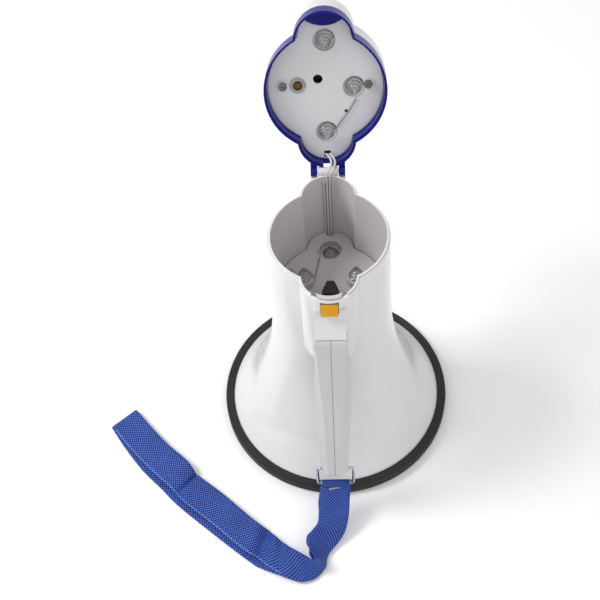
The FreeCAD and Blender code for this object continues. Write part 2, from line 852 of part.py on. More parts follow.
def make_cap_dome():
    bottom = S.rim_height + S.cap_rim_depth
    top = S.rim_height + S.dome_height + 4
    outside = lobed("dome_block", -0.2, bottom, top)
    dome = fillet_part("dome_rounded", outside, 8.0, lambda edge: edge.BoundBox.ZMin > top.value - 0.1)
    inside = lobed("dome_hollow", -2.4, bottom - 1, top - 2.4)
    hollow = fillet_part("hollow_rounded", inside, 6.0, lambda edge: edge.BoundBox.ZMin > top.value - 2.6)
    ceiling = top - 2.4
    posts = [cylinder(f"dome_post_{i}", 3.2, 18, (x, y, ceiling - 17)) for i, (x, y) in enumerate(CAP_SCREWS)]
    post_holes = cylinders_at("post_hole", CAP_SCREWS, 1.15, 12, ceiling - 18)
    shell = fuse("dome_with_posts", cut("dome_shell", dome, hollow), *posts)
    openings = [
        cylinder("grille_seat", 9.0, 3, (0, 0, top - 1.2)),
        cylinder("mic_opening", 6.2, 6, (0, 0, top - 4)),
        cylinder("pot_opening", 3.6, 6, (0, KNOB_Y, top - 4)),
        box("slider_opening", 11, 3.2, 6, (-5.5, SLIDER_Y - 1.6, top - 4)),
    ]
    node("cap_dome", cut("cap_dome_shape", shell, *openings, *post_holes), open_cap())
    return top


def make_cap_plate():
    bottom = S.rim_height + S.cap_plate_depth
    top = bottom + S.cap_plate_thickness
    blank = lobed("plate_blank", -2.7, bottom, top)
    bosses = cylinders_at("plate_boss", CAP_SCREWS, 4.2, 1.4, bottom - 1.0)
    cups = [cylinder(f"plate_cup_{s}", 8.6, 4.4, (x, y, bottom)) for s, (x, y) in CAP_SPRINGS.items()]
    standoffs = [
        cylinder(f"board_standoff_{i}", 2.2, 6.0, (x, y, top - 1))
        for i, (x, y) in enumerate([(-21, -16), (21, -16), (-21, 14), (21, 14)])
    ]
    body = fuse("plate_body", blank, *bosses, *cups, *standoffs)
    pockets = cylinders_at("plate_pocket", CAP_SPRINGS.values(), 7.4, 4.2, bottom - 1.2)
    holes = [
        cylinder("plate_hole", 3.2, 8, (-5, -5.8, bottom - 2)),
        cylinder("contact_seat", 5.35, 12, (CAP_CONTACT[0], CAP_CONTACT[1], bottom - 2)),
        box("jumper_slot", 2.2, 2.2, 8, (12.4, 15.9, bottom - 2)),
        box("lead_notch", 4.4, 5, 8, (-2.2, 45.6, bottom - 2)),
        lens("plate_lens", bottom - 2, top + 8),
    ]
    screws = cylinders_at("plate_screw_hole", CAP_SCREWS, 1.7, 8, bottom - 2)
    node("cap_plate", cut("cap_plate_shape", body, *pockets, *holes, *screws), open_cap())


def make_cap_contacts():
    bottom = (S.rim_height + S.cap_plate_depth).value
    wire = S.spring_wire.value
    for side, (x, y) in CAP_SPRINGS.items():
        spring = coil(5.9, 1.5, 10.5, 3.5, wire, Vector(x, y, 0))
        spring.rotate(Vector(x, y, 0), X_AXIS, 180)
        spring.translate(Vector(0, 0, bottom + 3.0 - wire / 2 - 0.05))
        shaped(f"cap_spring_{side}", spring, open_cap())
    x, y = CAP_CONTACT
    at = (x, y, bottom - 0.8)
    ring = cut(
        "contact_ring_shape",
        fuse(
            "contact_ring_outside",
            cylinder("contact_flange", 5.3, 3.4, at),
            cylinder("contact_collar", 5.3, 2.0, (x, y, bottom + 0.6)),
        ),
        cylinder("contact_bore", 3.2, 8, (x, y, bottom - 2)),
    )
    node("cap_contact_ring", ring, open_cap())
    pin = fuse(
        "contact_pin_shape",
        cylinder("contact_pin_head", 2.0, 2.2, (x, y, bottom - 0.2)),
        cylinder("contact_pin_base", 3.1, 0.7, (x, y, bottom + 2.0)),
    )
    node("cap_contact_pin", pin, open_cap())
    level = bottom - 0.75
    jumper = wire_tube(
        [
            Vector(20.2, 8.4, level),
            Vector(15.6, 16.6, level - 0.2),
            Vector(10.4, 23.2, level),
            Vector(6.6, 29.0, level),
        ],
        0.8,
    )
    shaped("cap_jumper", jumper, open_cap())
    screws = [screw(x, y, bottom - 1.0, 2.9, 1.5, 1.15, 11, down=False) for x, y in CAP_SCREWS]
    shaped("cap_screws", Part.makeCompound(screws), open_cap())


def make_cap_electronics(top):
    board_bottom = S.rim_height + S.cap_plate_depth + S.cap_plate_thickness + 5.0
    board = box("board_blank", 48, 38, 1.6, (-24, -20, board_bottom))
    node("amplifier_board", board, open_cap())
    above = board_bottom + 1.6
    parts = [
        cylinder("capacitor_big", 5.0, 8.0, (-16, -12, above)),
        cylinder("capacitor_small", 3.0, 7.0, (-6, -14, above)),
        cylinder("capacitor_pair", 3.0, 7.0, (-17, 12, above)),
        box("transformer", 13, 10, 7.5, (9, -17, above)),
        box("signal_chip", 10, 6.5, 3.4, (-6, 9, above)),
    ]
    node("board_components", group("board_component_group", *parts), open_cap())
    fins = [box(f"fin_{i}", 12, 1.0, 7.0, (9.5, 1.0 + 2.6 * i, above)) for i in range(5)]
    base = box("fin_base", 1.4, 11.4, 7.0, (20.5, 1.0, above))
    node("heat_sink", fuse("heat_sink_shape", base, *fins), open_cap())
    capsule = cylinder("capsule", 4.8, 5.6, (0, 0, top - 8.2))
    node("microphone_capsule", capsule, open_cap())
    sleeve = cut(
        "mic_sleeve_shape",
        cylinder("sleeve_outside", 6.1, 6.6, (0, 0, top - 8.0)),
        cylinder("sleeve_inside", 4.85, 8, (0, 0, top - 9)),
    )
    node("mic_sleeve", sleeve, open_cap())
    grille = cylinder("grille_disc", 8.9, 1.9, (0, 0, top - 1.2))
    holes = [cylinder("grille_hole_centre", 0.8, 4, (0, 0, top - 2))]
    for ring_radius, count in ((2.6, 6), (5.2, 12)):
        for index in range(count):
            angle = 2 * math.pi * index / count
            at = (ring_radius * math.cos(angle), ring_radius * math.sin(angle), top - 2)
            holes.append(cylinder(f"grille_hole_{count}_{index}", 0.8, 4, at))
    node("mic_grille", cut("mic_grille_shape", grille, *holes), open_cap())
    pot_at = (0, KNOB_Y, top - 9.6)
    pot = cut(
        "pot_shape",
        fuse(
            "pot_body",
            cylinder("pot_case", 7.5, 7.1, pot_at),
            cylinder("pot_bush", 3.5, 10.6, pot_at),
        ),
        cylinder("pot_bore", 2.55, 12, (0, KNOB_Y, top - 6)),
    )
    node("volume_pot", pot, open_cap())
    knob = fillet_part(
        "knob_rounded",
        cylinder("knob_blank", 9.0, 7.0, (0, KNOB_Y, top + 1.4)),
        1.0,
        lambda edge: edge.BoundBox.ZMin > top.value + 8,
    )
    grooves = []
    for index in range(18):
        angle = 2 * math.pi * index / 18
        at = (9.3 * math.cos(angle), KNOB_Y + 9.3 * math.sin(angle), top + 1)
        grooves.append(cylinder(f"knob_groove_{index}", 0.8, 9, at))
    bore = cylinder("knob_bore", 2.5, 4.5, (0, KNOB_Y, top + 1))
    pointer = box("knob_pointer", 1.0, 7, 1, (-0.5, KNOB_Y + 1, top + 7.9))
    node("volume_knob", cut("volume_knob_shape", knob, bore, pointer, *grooves), open_cap())
    shaft = cylinder("volume_shaft_rod", 2.5, 11.3, (0, KNOB_Y, top - 5.8))
    node("volume_shaft", shaft, open_cap())
    switch = box("mode_switch_case", 15, 6.4, 5.4, (-7.5, SLIDER_Y - 3.2, top - 8.0))
    node("mode_switch", switch, open_cap())
    slider = fuse(
        "mode_slider_shape",
        box("slider_stem", 3.6, 2.6, 3.4, (-1.8, SLIDER_Y - 1.3, top - 2.55)),
        box("slider_cap", 6.0, 7.0, 2.4, (-3.0, SLIDER_Y - 3.5, top + 0.3)),
    )
    node("mode_slider", slider, open_cap())
    plate_top = S.rim_height + S.cap_plate_depth + S.cap_plate_thickness
    gasket = cut(
        "dome_gasket_shape",
        lobed("gasket_outside", -2.45, plate_top + 0.05, board_bottom - 2.6),
        lobed("gasket_inside", -3.6, S.rim_height + S.cap_plate_depth, board_bottom),
    )
    node("cap_gasket", gasket, open_cap())


def make_flexible_lead():
    """The two wires that loop from the rim to the cap's notch across the hinge, with the cap open."""
    wires = []
    for x, drift in ((-LEAD_SPREAD, 0.6), (LEAD_SPREAD, 1.2)):
        y, z = LEAD_TOP
        route = [
            Vector(x, y, z + 0.05),
            Vector(x, y, z + 5.6),
            Vector(x + drift * 0.5, y + 2.6, z + 9.0),
            Vector(x + drift, y + 7.6, z + 9.6),
            Vector(x + drift, y + 12.8, z + 9.0),
            Vector(x + drift * 0.4, y + 17.2, z + 9.8),
        ]
        wires.append(wire_tube(route, LEAD_DIAMETER, label="flexible lead"))
    shaped("lead_flex", Part.makeCompound(wires))


# ---- Hinge and handle pins


def make_pins():
    hinge = cylinder(
        "hinge_pin_rod",
        S.hinge_pin_radius - S.hinge_clearance,
        24,
        (-12, S.hinge_back, S.hinge_height),
        ALONG_X,
    )
    node("cap_hinge_pin", hinge)
    at = (-10.8, -S.handle_pin_front, S.handle_pin_height)
    node("handle_pin", cylinder("handle_pin_rod", S.handle_pin_radius - S.hinge_clearance, 21.6, at, ALONG_X))


# ---- Handle, drawn hanging from its pin at the origin

GRIP_SECTIONS = [
    # height, palm face, barrel face, half width, palm flat, palm chamfer, barrel flat, barrel chamfer
    (0.0, -5.6, 5.3, 11.0, 9.9, 1.1, 9.5, 1.0),
    (-25.0, -5.6, 12.0, 11.8, 8.8, 2.2, 8.4, 2.6),
    (-46.0, -5.6, 18.0, 12.4, 7.6, 3.2, 7.2, 4.4),
    (-88.0, -5.6, 18.0, 11.2, 6.2, 4.0, 6.6, 4.6),
    (-126.0, -5.0, 14.6, 10.0, 5.2, 4.2, 5.6, 4.4),
]


def handle_place():
    pin = Vector(0, -S.handle_pin_front.value, S.handle_pin_height.value)
    return Placement(pin, Rotation(X_AXIS, -S.handle_angle.value))


def grip_loft(name, inset, sections):
    body = new_body(name)
    sketches = []
    for height, palm, back, half, palm_flat, palm_cut, back_flat, back_cut in sections:
        half, palm_flat, back_flat = half - inset, palm_flat - inset * 0.6, back_flat - inset * 0.6
        palm, back = palm + inset, back - inset
        corners = [
            (palm_flat, palm),
            (half, palm + palm_cut),
            (half, back - back_cut),
            (back_flat, back),
            (-back_flat, back),
            (-half, back - back_cut),
            (-half, palm + palm_cut),
            (-palm_flat, palm),
        ]
        sketches.append(sketch_in(body, "XY", corners, height))
    loft = body.newObject("PartDesign::AdditiveLoft", name + "_loft")
    loft.Profile = sketches[0]
    loft.Sections = sketches[1:]
    loft.Ruled = False
    return body


GRIP_SCREWS = [(3.0, -31.0), (6.0, -86.0), (5.0, -114.0)]
BAIL_PIVOT = (-0.5, -120.5)
BAIL_WIRE = 2.2
TRIGGER_TOP = -41.0
TRIGGER_BOTTOM = -71.0


def make_grips():
    solid = grip_loft("grip_solid", 0, GRIP_SECTIONS)
    wall = S.grip_wall.value
    inner_sections = [(-14.0, -5.6, 9.2, 11.4, 9.4, 1.6, 9.0, 1.8)] + GRIP_SECTIONS[1:4]
    inner_sections.append((-108.0, -5.4, 16.2, 10.6, 5.6, 4.1, 6.1, 4.5))
    hollow = grip_loft("grip_hollow", wall, inner_sections)
    doc.recompute()
    rounded(solid, 3.2, lambda edge: edge.BoundBox.ZMax < -125.9)
    knuckle = cylinder("knuckle", S.knuckle_radius, 22, (-11, 0, 0), ALONG_X)
    whole = fuse("grip_whole", solid, knuckle)
    ear_slot = fuse(
        "ear_slot",
        cylinder("ear_slot_round", 4.15, 9.8, (-4.9, 0, 0), ALONG_X),
        box("ear_slot_box", 9.8, 18, 14, (-4.9, -3.6, -4.0)),
    )
    trigger_length = TRIGGER_TOP - TRIGGER_BOTTOM
    tools = [
        cylinder("grip_pin_bore", S.handle_pin_radius, 30, (-15, 0, 0), ALONG_X),
        cylinder("bail_bore", BAIL_WIRE / 2 + 0.08, 30, (-15, *BAIL_PIVOT), ALONG_X),
        box("trigger_opening", 12.6, 12, trigger_length + 1.2, (-6.3, 11.0, TRIGGER_BOTTOM - 0.6)),
    ]
    posts = []
    for index, (y, z) in enumerate(GRIP_SCREWS[:2]):
        posts.append(cylinder(f"grip_post_{index}", 3.8, 20, (-10, y, z), ALONG_X))
        tools.append(cylinder(f"grip_screw_bore_{index}", 1.35, 19, (-12.5, y, z), ALONG_X))
        tools.append(cylinder(f"grip_screw_seat_{index}", 2.9, 4.2, (-13.2, y, z), ALONG_X))
    y, z = GRIP_SCREWS[2]
    tools.append(cylinder("grip_screw_bore_end", 1.35, 19, (-12.5, y, z), ALONG_X))
    tools.append(cylinder("grip_screw_seat_end", 2.9, 4.2, (-13.2, y, z), ALONG_X))
    shell = fuse("grip_shell", cut("grip_hollowed", whole, hollow, ear_slot), *posts)
    finished = cut("grip_finished", shell, *tools)
    for side, x in (("left", -20.0), ("right", 0.0)):
        half = box(f"half_{side}", 20, 60, 160, (x, -30, -145))
        node(f"grip_{side}", common(f"grip_{side}_shape", finished, half), handle_place())


def make_grip_screws():
    screws = []
    for y, z in GRIP_SCREWS:
        item = screw(0, 0, 0, 2.7, 1.5, 1.3, 14)
        item.Placement = Placement(Vector(-9.0, y, z), Rotation(Y_AXIS, -90))
        screws.append(item)
    shaped("grip_screws", Part.makeCompound(screws), handle_place())


def make_trigger():
    trigger = side_slab(
        "trigger_blade",
        [
            (12.2, TRIGGER_TOP),
            (20.4, TRIGGER_TOP - 1.0),
            (22.4, TRIGGER_TOP - 8.0),
            (21.4, TRIGGER_TOP - 18.0),
            (22.6, TRIGGER_BOTTOM + 4.0),
            (20.4, TRIGGER_BOTTOM),
            (12.2, TRIGGER_BOTTOM),
        ],
        12.2,
    )
    node("trigger", rounded(trigger, 0.8, lambda edge: edge.BoundBox.YMin > 14), handle_place())
    switch = fuse(
        "switch_shape",
        box("switch_case", 6.0, 6.2, 12.0, (-3.0, -0.6, -60.0)),
        box("switch_plunger", 1.6, 2.0, 2.0, (-0.8, 5.4, -55.0)),
    )
    node("talk_switch", switch, handle_place())
    spring = coil(2.3, 2.3, 5.4, 4, 0.6, Vector())
    spring.rotate(Vector(), X_AXIS, -90)
    spring.translate(Vector(0, 6.4, -66.0))
    shaped("trigger_spring", spring, handle_place())


def bail_place():
    """The bail's pivot in the megaphone's own frame."""
    return handle_place().multVec(Vector(0, *BAIL_PIVOT))


BAIL_HALF_WIDTH = 13.4
BAIL_DROP = 26.0
STRAP_HEAD_WIDTH = 21.0


def make_bail():
    pivot = bail_place()
    rail = Vector(BAIL_HALF_WIDTH, 0, 0)
    drop = Vector(0, 0, -BAIL_DROP)
    inner = Vector(7.6, 0, 0)
    left, right = pivot - rail, pivot + rail
    route = [pivot - inner, left, left + drop, right + drop, right, pivot + inner]
    shaped("strap_bail", wire_tube(route, BAIL_WIRE, bend=2.5, label="strap bail"))
    bar = pivot + drop
    width = STRAP_HEAD_WIDTH
    loop = fuse(
        "strap_loop_outside",
        cylinder("strap_loop_round", BAIL_WIRE / 2 + 1.9, width, (-width / 2, bar.y, bar.z), ALONG_X),
        box("strap_loop_tail", width, 3.6, 7.0, (-width / 2, bar.y - 1.8, bar.z - 8.6)),
    )
    bore_at = (-width / 2 - 1, bar.y, bar.z)
    inside = cylinder("strap_loop_inside", BAIL_WIRE / 2 + 0.2, width + 2, bore_at, ALONG_X)
    node("strap_loop", cut("strap_loop_shape", loop, inside))


STRAP_ROUTE = [(2, -151), (-30, -153), (-58, -139), (-88, -113), (-121, -79), (-145, -56), (-177, -25)]


def make_strap():
    """Two layers of webbing: a slope down from the bail, then a band that lies on the ground."""
    thick = 2 * S.webbing_thickness.value + 0.4
    width = S.webbing_width.value
    band = flat_band([Vector(x, y, 0) for x, y in STRAP_ROUTE], width, thick)
    bar = bail_place() + Vector(0, 0, -BAIL_DROP)
    head = Vector(0, bar.y - 1.0, bar.z - 11.4)
    foot = Vector(-1.0, -150.0, 2.4)
    slope = foot - head
    slab = Part.makeBox(width, thick, slope.Length, Vector(-width / 2, -thick / 2, 0))
    slab.Placement = Placement(head, Rotation(Z_AXIS, slope))
    shaped("wrist_strap", band.fuse(slab).removeSplitter())


def flat_band(points, width, thick):
    """A flat band along straight runs joined by arcs, lying on the ground."""
    pieces = []
    for start, end in zip(points, points[1:]):
        run = end - start
        piece = Part.makeBox(run.Length, width, thick, Vector(0, -width / 2, 0))
        piece.Placement = Placement(start, Rotation(X_AXIS, run))
        pieces.append(piece)
    for joint in points[1:-1]:
        pieces.append(Part.makeCylinder(width / 2, thick, joint))
    return pieces[0].multiFuse(pieces[1:])


make_housing()
make_mouth_ring()
make_battery_floor()
make_cell_divider()
make_floor_contacts()
make_fixed_lead()
make_throat_horn()
make_reflector()
make_driver()
make_latch()
make_cap_rim()
dome_top = make_cap_dome()
make_cap_plate()
make_cap_contacts()
make_cap_electronics(dome_top)
make_flexible_lead()
make_pins()
make_grips()
make_grip_screws()
make_trigger()
make_bail()
make_strap()


# ---- Check every object, then write each sub-part


def check(document, parts):
    document.recompute()
    broken = {"Invalid", "Error"}
    faults = [f"{item.Name}: {item.State}" for item in document.Objects if broken & set(item.State)]
    for label, item in parts.items():
        shape = item.Shape
        if shape.isNull() or not shape.isValid() or not shape.Solids:
            faults.append(f"{label}: null={shape.isNull()}, solids={len(shape.Solids)}")
    if faults:
        raise RuntimeError("; ".join(faults))


check(doc, nodes)
os.makedirs("parts", exist_ok=True)
for label, item in nodes.items():
    item.Shape.exportStep(f"parts/{label}.step")
    print(f"{label}: {len(item.Shape.Solids)} solid(s), {item.Shape.Volume / 1000:.2f} cm3")
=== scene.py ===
import math

import bpy
import numpy as np
from mathutils import Matrix, Vector


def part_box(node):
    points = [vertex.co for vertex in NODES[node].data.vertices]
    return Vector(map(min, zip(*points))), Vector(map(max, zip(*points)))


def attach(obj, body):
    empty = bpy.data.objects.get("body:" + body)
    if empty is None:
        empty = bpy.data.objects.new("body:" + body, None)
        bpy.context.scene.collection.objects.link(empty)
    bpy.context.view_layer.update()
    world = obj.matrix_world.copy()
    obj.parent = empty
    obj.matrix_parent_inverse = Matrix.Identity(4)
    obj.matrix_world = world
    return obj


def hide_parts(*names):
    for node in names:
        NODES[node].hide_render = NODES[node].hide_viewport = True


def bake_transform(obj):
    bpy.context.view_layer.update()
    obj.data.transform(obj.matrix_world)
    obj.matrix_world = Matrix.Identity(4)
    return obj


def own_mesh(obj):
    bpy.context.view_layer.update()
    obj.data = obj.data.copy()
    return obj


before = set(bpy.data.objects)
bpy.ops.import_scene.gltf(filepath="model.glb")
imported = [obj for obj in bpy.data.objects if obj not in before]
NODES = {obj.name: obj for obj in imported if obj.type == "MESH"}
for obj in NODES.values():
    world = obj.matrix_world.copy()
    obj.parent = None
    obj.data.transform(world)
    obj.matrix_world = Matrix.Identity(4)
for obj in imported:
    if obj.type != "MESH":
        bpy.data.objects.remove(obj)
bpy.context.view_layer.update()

MM = 0.001


# ---- Camera: above the handle's side, looking down into the barrel

CAMERA_TARGET = Vector((-0.0197, 0.0221, 0.0615))
CAMERA_DISTANCE = 0.7539
CAMERA_ELEVATION = math.radians(56.3)
CAMERA_AZIMUTH = math.radians(4.16)
CAMERA_ROLL = math.radians(-4.7)
CAMERA_LENS = 56.06
CAMERA_SHIFT = (-0.0152, 0.0524)


def add_camera():
    az, el = CAMERA_AZIMUTH, CAMERA_ELEVATION
    back = Vector((math.sin(az) * math.cos(el), -math.cos(az) * math.cos(el), math.sin(el)))
    right = Vector((0, 0, 1)).cross(back).normalized()
    up = back.cross(right)
    c, s = math.cos(CAMERA_ROLL), math.sin(CAMERA_ROLL)
    turned_right = right * c + up * s
    turned_up = up * c - right * s
    data = bpy.data.cameras.new("camera")
    data.lens = CAMERA_LENS
    data.sensor_width = 36.0
    data.shift_x, data.shift_y = CAMERA_SHIFT
    data.clip_start = 0.01
    data.clip_end = 20
    camera = bpy.data.objects.new("camera", data)
    bpy.context.scene.collection.objects.link(camera)
    axes = Matrix((turned_right, turned_up, back)).transposed().to_4x4()
    camera.matrix_world = Matrix.Translation(CAMERA_TARGET + back * CAMERA_DISTANCE) @ axes
    bpy.context.scene.camera = camera


add_camera()
bpy.context.scene.view_settings.view_transform = "Standard"


# ---- Procedural materials

class Nodes:
    """A material's node tree, with short calls for the nodes that the finishes share."""

    def __init__(self, name):
        self.material = bpy.data.materials.new(name)
        self.material.use_nodes = True
        self.tree = self.material.node_tree
        self.shader = self.tree.nodes["Principled BSDF"]
        self.place = self.add("ShaderNodeTexCoord").outputs["Object"]

    def add(self, kind, **settings):
        node = self.tree.nodes.new(kind)
        for key, value in settings.items():
            setattr(node, key, value)
        return node

    def link(self, output, socket):
        self.tree.links.new(output, socket)

    def set(self, **values):
        for key, value in values.items():
            self.shader.inputs[key.replace("_", " ")].default_value = value

    def noise(self, scale, detail=3.0, roughness=0.55, vector=None):
        node = self.add("ShaderNodeTexNoise")
        node.inputs["Scale"].default_value = scale
        node.inputs["Detail"].default_value = detail
        node.inputs["Roughness"].default_value = roughness
        self.link(vector or self.place, node.inputs["Vector"])
        return node.outputs["Fac"]

    def ramp(self, value, stops):
        node = self.add("ShaderNodeValToRGB")
        elements = node.color_ramp.elements
        while len(elements) < len(stops):
            elements.new(0.5)
        for element, (position, colour) in zip(elements, stops):
            element.position = position
            element.color = (*colour, 1.0)
        self.link(value, node.inputs["Fac"])
        return node.outputs["Color"]

    def spread(self, value, low, high, start=0.3, end=0.7):
        """Maps a noise's middle range to a range of values."""
        node = self.add("ShaderNodeMapRange")
        node.inputs["From Min"].default_value = start
        node.inputs["From Max"].default_value = end
        node.inputs["To Min"].default_value = low
        node.inputs["To Max"].default_value = high
        self.link(value, node.inputs["Value"])
        return node.outputs["Result"]

    def maths(self, operation, first, second=None):
        node = self.add("ShaderNodeMath", operation=operation)
        for socket, value in zip(node.inputs, (first, second)):
            if value is None:
                continue
            if isinstance(value, (int, float)):
                socket.default_value = value
            else:
                self.link(value, socket)
        return node.outputs[0]

    def axes(self, vector=None):
        """The x, y and z of a place on the object, or of another vector."""
        parts = self.add("ShaderNodeSeparateXYZ")
        self.link(vector or self.place, parts.inputs[0])
        return [parts.outputs[axis] for axis in "XYZ"]

    def reach(self, first, second):
        """The distance from an axis, given the two coordinates across it."""
        squares = [self.maths("MULTIPLY", value, value) for value in (first, second)]
        return self.maths("SQRT", self.maths("ADD", *squares))

    def mix(self, factor, first, second):
        node = self.add("ShaderNodeMix", data_type="RGBA")
        for name, value in (("Factor", factor), ("A", first), ("B", second)):
            socket = node.inputs[name]
            if isinstance(value, tuple):
                socket.default_value = (*value, 1.0)
            elif isinstance(value, (int, float)):
                socket.default_value = value
            else:
                self.link(value, socket)
        return node.outputs["Result"]

    def bump(self, height, distance, strength=1.0):
        node = self.add("ShaderNodeBump")
        node.inputs["Strength"].default_value = strength
        node.inputs["Distance"].default_value = distance
        self.link(height, node.inputs["Height"])
        self.link(node.outputs["Normal"], self.shader.inputs["Normal"])


def scaled(colour, factor):
    return tuple(min(1.0, c * factor) for c in colour)


def plastic(name, colour, roughness=(0.16, 0.26), grain=900, grain_depth=0.00001, wave_depth=0.00006,
            vary=0.04, ior=1.5):
    """Moulded plastic: faint colour drift, uneven gloss, the mould's slow waves and a fine grain."""
    n = Nodes(name)
    drift = n.noise(14, 2)
    n.link(n.ramp(drift, [(0.3, scaled(colour, 1 - vary)), (0.7, scaled(colour, 1 + vary))]),
           n.shader.inputs["Base Color"])
    n.link(n.spread(n.noise(55, 5, 0.6), *roughness), n.shader.inputs["Roughness"])
    fine = n.maths("MULTIPLY", n.noise(grain, 2), grain_depth)
    slow = n.maths("MULTIPLY", n.noise(28, 2, 0.4), wave_depth)
    n.bump(n.maths("ADD", fine, slow), 1.0)
    n.set(IOR=ior)
    return n.material


def metal(name, colour, roughness=(0.12, 0.3), scratches=500, depth=0.000012):
    """Plated or drawn metal: fine scratches, patchy gloss and a slight stain."""
    n = Nodes(name)
    stain = n.noise(90, 4)
    n.link(n.ramp(stain, [(0.35, scaled(colour, 0.72)), (0.62, colour)]), n.shader.inputs["Base Color"])
    n.link(n.spread(n.noise(scratches, 4, 0.65), *roughness), n.shader.inputs["Roughness"])
    n.bump(n.maths("MULTIPLY", n.noise(scratches * 2, 3), depth), 1.0)
    n.set(Metallic=1.0)
    return n.material


def rubber(name, colour, roughness=(0.42, 0.6), grain=1400, depth=0.00003):
    """Moulded rubber: dull, slightly dusty, with a fine open grain."""
    n = Nodes(name)
    dusty = n.noise(35, 6, 0.65)
    n.link(n.ramp(dusty, [(0.35, colour), (0.75, scaled(colour, 1.9))]), n.shader.inputs["Base Color"])
    n.link(n.spread(n.noise(70, 4), *roughness), n.shader.inputs["Roughness"])
    n.bump(n.maths("MULTIPLY", n.noise(grain, 3), depth), 1.0)
    n.set(IOR=1.5)
    return n.material


def webbing(name, colour, glint, row_pitch=1.15):
    """Woven webbing: staggered raised yarns with a painted glint, and painted shade in the hollows between
    them. UV is in millimetres.
    """
    n = Nodes(name)
    run, width, _ = n.axes(n.add("ShaderNodeTexCoord").outputs["UV"])
    wobble = n.maths("MULTIPLY", n.maths("SUBTRACT", n.noise(300, 2), 0.5), 0.35)
    turn = math.pi / row_pitch
    along = n.maths("COSINE", n.maths("MULTIPLY", n.maths("ADD", run, wobble), turn))
    across = n.maths("COSINE", n.maths("MULTIPLY", n.maths("ADD", width, wobble), turn))
    dots = n.maths("ADD", n.maths("MULTIPLY", n.maths("MULTIPLY", along, across), 0.5), 0.5)
    yarns = n.maths("MULTIPLY", n.noise(2400, 3), 0.3)
    height = n.maths("ADD", n.maths("MULTIPLY", dots, 0.8), yarns)
    # Painted shade in the hollows and a painted glint on the raised yarns.
    tone = n.ramp(height, [(0.3, scaled(colour, 0.5)), (0.58, colour), (0.9, glint)])
    drift = n.add("ShaderNodeHueSaturation")
    n.link(tone, drift.inputs["Color"])
    n.link(n.spread(n.noise(40, 3), 0.85, 1.12), drift.inputs["Value"])
    n.link(drift.outputs["Color"], n.shader.inputs["Base Color"])
    n.link(n.spread(height, 0.7, 0.42, 0.3, 1.0), n.shader.inputs["Roughness"])
    n.bump(n.maths("MULTIPLY", height, 0.00045), 1.0)
    n.set(IOR=1.4)
    return n.material


def shell_plastic(name, outer, inner_painted_shade):
    """The body's gloss white. Inside the battery well the moulding is left satin, and its white is painted
    greyer as the well's shade.
    """
    n = Nodes(name)
    x, y, z = n.axes()
    main = n.maths("LESS_THAN", n.reach(x, y), WELL_RADIUS)
    off = n.maths("SUBTRACT", n.maths("ABSOLUTE", y), LOBE_OFFSET)
    lobe = n.maths("LESS_THAN", n.reach(x, off), WELL_LOBE)
    inside = n.maths("MULTIPLY", n.maths("MAXIMUM", main, lobe), n.maths("GREATER_THAN", z, WELL_BOTTOM))
    drift = n.spread(n.noise(14, 2), 0.97, 1.03)
    shade = n.add("ShaderNodeHueSaturation")
    # Inside the well the white is painted greyer as shade.
    n.link(n.mix(inside, outer, inner_painted_shade), shade.inputs["Color"])
    n.link(drift, shade.inputs["Value"])
    n.link(shade.outputs["Color"], n.shader.inputs["Base Color"])
    gloss = n.spread(n.noise(55, 5, 0.6), 0.13, 0.22)
    n.link(n.maths("ADD", gloss, n.maths("MULTIPLY", inside, 0.24)), n.shader.inputs["Roughness"])
    fine = n.maths("MULTIPLY", n.noise(900, 2), 0.00001)
    slow = n.maths("MULTIPLY", n.noise(28, 2, 0.4), 0.00002)
    n.bump(n.maths("ADD", fine, slow), 1.0)
    n.set(IOR=1.5)
    return n.material


def seamed_plastic(name, colour):
    """The handle's satin white, with painted shade along the line where its two halves meet."""
    n = Nodes(name)
    away = n.maths("ABSOLUTE", n.axes()[0])
    seam = n.spread(away, 1.0, 0.0, 0.00006, 0.00022)
    drift = n.ramp(n.noise(14, 2), [(0.3, scaled(colour, 0.98)), (0.7, scaled(colour, 1.02))])
    # Painted shade along the seam: the white at 0.3 of its tone.
    n.link(n.mix(seam, drift, scaled(colour, 0.3)), n.shader.inputs["Base Color"])
    n.link(n.spread(n.noise(180, 3), 0.3, 0.36), n.shader.inputs["Roughness"])
    fine = n.maths("MULTIPLY", n.noise(1300, 2), 0.000012)
    n.bump(n.maths("SUBTRACT", fine, n.maths("MULTIPLY", seam, 0.0003)), 1.0)
    n.set(IOR=1.5)
    return n.material


def ridged_rubber(name, colour, pitch=0.0021):
    """The bumper's rubber, with fine ridges that run round it and painted shade in the grooves between them.
    """
    n = Nodes(name)
    x, y, z = n.axes()
    turns = n.maths("MULTIPLY", n.maths("SUBTRACT", n.reach(x, y), z), 2 * math.pi / pitch)
    ridge = n.spread(n.maths("SINE", turns), 0.0, 1.0, -0.5, 0.4)
    dusty = n.ramp(n.noise(35, 6, 0.65), [(0.35, colour), (0.75, scaled(colour, 1.7))])
    # Painted shade: the grooves get a quarter of the rubber's colour.
    n.link(n.mix(ridge, scaled(colour, 0.25), dusty), n.shader.inputs["Base Color"])
    n.link(n.spread(n.noise(70, 4), 0.34, 0.5), n.shader.inputs["Roughness"])
    grain = n.maths("MULTIPLY", n.noise(1400, 3), 0.00003)
    n.bump(n.maths("ADD", grain, n.maths("MULTIPLY", ridge, 0.0003)), 1.0)
    n.set(IOR=1.5)
    return n.material


def wedge_plastic(name, colour, foot, foot_height):
    """Black moulding with a dark red foot."""
    n = Nodes(name)
    low = n.maths("LESS_THAN", n.axes()[2], foot_height)
    drift = n.ramp(n.noise(40, 3), [(0.3, scaled(colour, 0.8)), (0.7, scaled(colour, 1.4))])
    n.link(n.mix(low, drift, foot), n.shader.inputs["Base Color"])
    n.link(n.spread(n.noise(90, 4), 0.2, 0.36), n.shader.inputs["Roughness"])
    n.bump(n.maths("MULTIPLY", n.noise(700, 2), 0.00002), 1.0)
    n.set(IOR=1.5)
    return n.material


